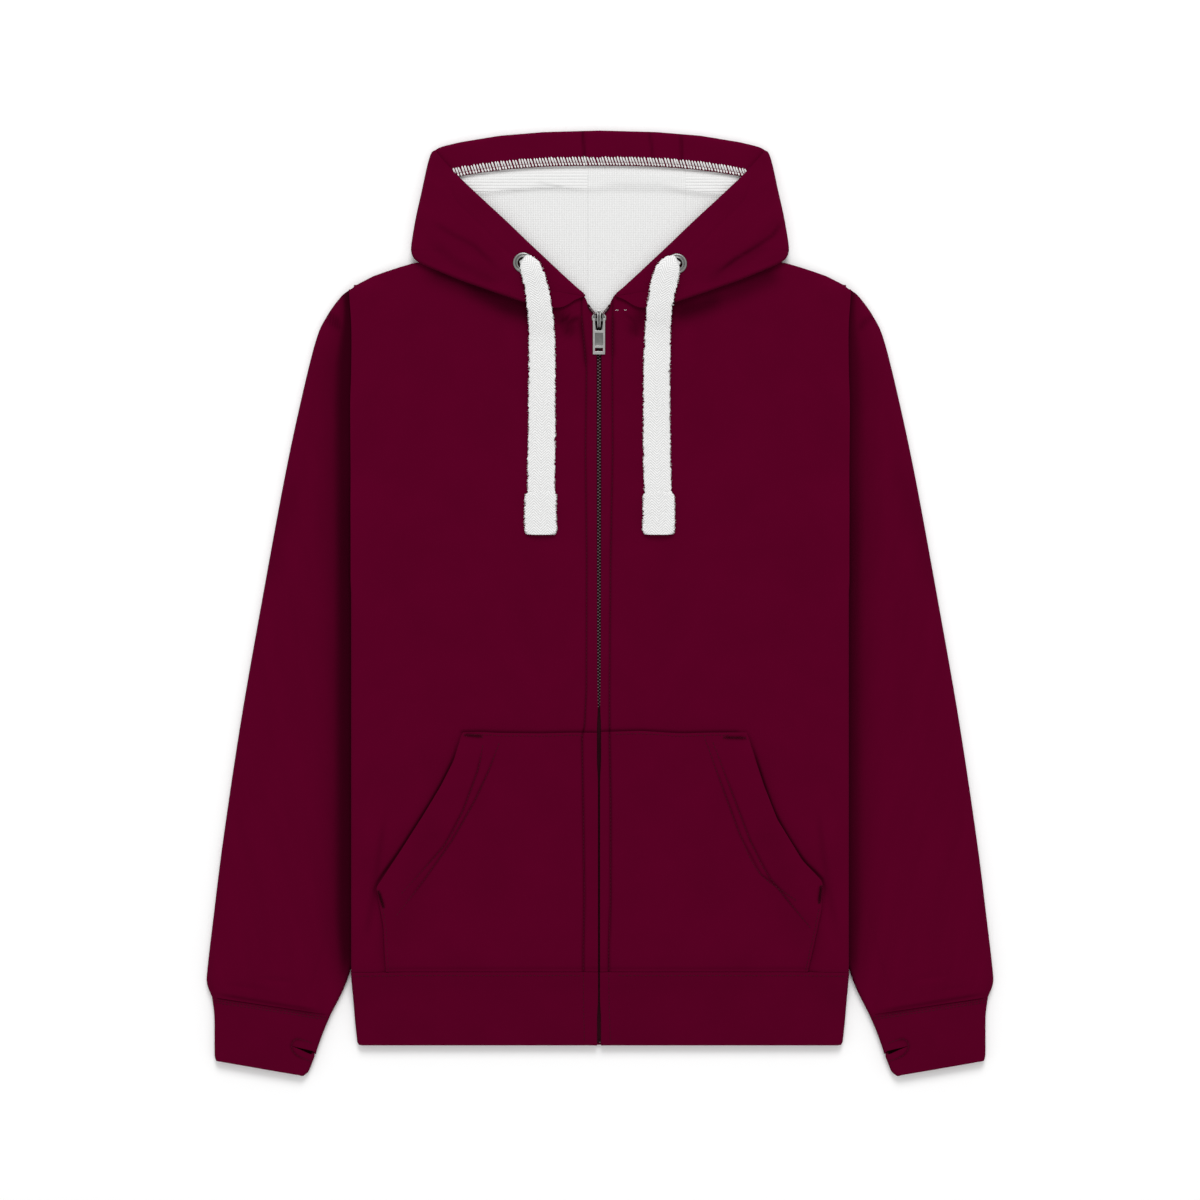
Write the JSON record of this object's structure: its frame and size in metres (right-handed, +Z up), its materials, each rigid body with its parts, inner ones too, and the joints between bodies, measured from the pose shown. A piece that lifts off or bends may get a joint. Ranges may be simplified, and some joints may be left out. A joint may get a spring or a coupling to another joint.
{
  "type": "zip up hoodie",
  "caption": "Burgundy zip up hoodie laid flat: hooded fleece jacket with white waffle lining, flat drawcords, front pockets, hem band and cuffs with thumb slits.",
  "frame": {"origin": "middle of the garment's outline, on the surface it lies on", "axes": "+X to the garment's left as it is worn, +Y from the hem to the hood, +Z up, out of the front"},
  "size_m": [0.6916, 0.8323, 0.0183],
  "materials": {
    "burgundy_fleece": "soft brushed fleece jersey, matt",
    "burgundy_band": "thick ribbed knit worn smooth, matt",
    "white_waffle": "white waffle knit, matt",
    "white_herringbone": "flat woven herringbone cord, matt",
    "zip_tape": "woven tape, matt",
    "antique_metal": "antiqued grey metal, soft satin"
  },
  "bodies": {
    "garment": {"back": "burgundy_fleece", "cuff_left": "burgundy_band", "cuff_right": "burgundy_band", "drawcord_end_left": "white_herringbone", "drawcord_end_right": "white_herringbone", "drawcord_left": "white_herringbone", "drawcord_right": "white_herringbone", "eyelet_left": "antique_metal", "eyelet_right": "antique_metal", "front_left": "burgundy_fleece", "front_right": "burgundy_fleece", "hood_centre": "burgundy_fleece", "hood_facing": "burgundy_fleece", "hood_left": "burgundy_fleece", "hood_lining_centre": "white_waffle", "hood_lining_left": "white_waffle", "hood_lining_right": "white_waffle", "hood_right": "burgundy_fleece", "pocket_left": "burgundy_fleece", "pocket_right": "burgundy_fleece", "sleeve_left": "burgundy_fleece", "sleeve_right": "burgundy_fleece", "waistband": "burgundy_band", "zip_chain": "antique_metal", "zip_slider": "antique_metal", "zip_tape_left": "zip_tape", "zip_tape_right": "zip_tape"},
    "pull_tab": {"zip_pull_tab": "antique_metal"}
  },
  "joints": [
    {"name": "pull_tab_swing", "type": "hinge", "parent": "garment", "child": "pull_tab", "pos_m": [-0.0009, 0.249, 0.01085], "axis": [-1, 0, 0], "range_deg": [0, 170]}
  ]
}
